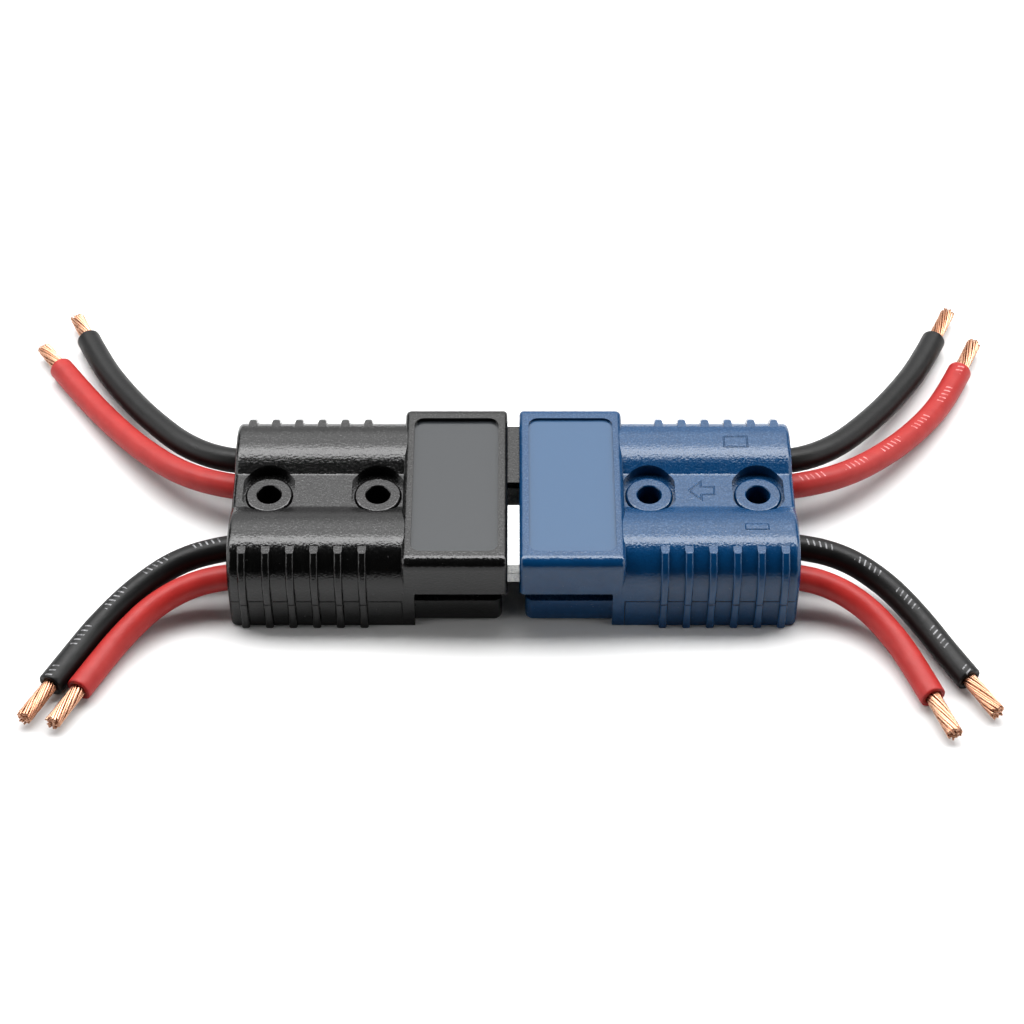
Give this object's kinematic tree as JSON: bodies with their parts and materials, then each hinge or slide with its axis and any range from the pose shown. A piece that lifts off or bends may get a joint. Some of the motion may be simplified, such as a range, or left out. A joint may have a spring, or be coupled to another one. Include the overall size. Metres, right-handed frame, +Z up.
{
  "type": "mated genderless power connector pair",
  "caption": "Mated pair of flat two-pole genderless power connectors, ribbed twin-barrel housings with recessed hoods, bolt holes and short stripped leads.",
  "frame": {"origin": "midway between the two hood faces, on the flat underside that the pair rests on", "axes": "+X along the mating axis towards the blue half's cable end, +Y across to the black half's high contact, +Z up out of the flat underside"},
  "size_m": [0.176, 0.1018, 0.016],
  "materials": {
    "black_plastic": "fine moulded grain, satin",
    "blue_plastic": "fine moulded grain, satin",
    "contact_metal": "silver plated, slightly rough",
    "spring_steel": "bright spring steel",
    "copper_strand": "bright bare copper strands",
    "black_insulation": "soft silicone, satin",
    "red_insulation": "soft silicone, satin"
  },
  "bodies": {
    "black_half": {"black_housing": "black_plastic", "black_contact_far": "contact_metal", "black_contact_near": "contact_metal", "black_spring_far": "spring_steel", "black_spring_near": "spring_steel", "black_far_outer_wire": "black_insulation", "black_far_outer_strands": "copper_strand", "black_far_outer_core": "copper_strand", "black_far_inner_wire": "red_insulation", "black_far_inner_strands": "copper_strand", "black_far_inner_core": "copper_strand", "black_near_outer_wire": "red_insulation", "black_near_outer_strands": "copper_strand", "black_near_outer_core": "copper_strand", "black_near_inner_wire": "black_insulation", "black_near_inner_strands": "copper_strand", "black_near_inner_core": "copper_strand"},
    "blue_half": {"blue_housing": "blue_plastic", "blue_contact_far": "contact_metal", "blue_contact_near": "contact_metal", "blue_spring_far": "spring_steel", "blue_spring_near": "spring_steel", "blue_far_outer_wire": "black_insulation", "blue_far_outer_strands": "copper_strand", "blue_far_outer_core": "copper_strand", "blue_far_inner_wire": "red_insulation", "blue_far_inner_strands": "copper_strand", "blue_far_inner_core": "copper_strand", "blue_near_outer_wire": "red_insulation", "blue_near_outer_strands": "copper_strand", "blue_near_outer_core": "copper_strand", "blue_near_inner_wire": "black_insulation", "blue_near_inner_strands": "copper_strand", "blue_near_inner_core": "copper_strand"}
  },
  "joints": [
    {"name": "unplug_slide", "type": "slide", "parent": "black_half", "child": "blue_half", "axis": [1, 0, 0], "range_m": [-0.0019, 0.024]}
  ]
}
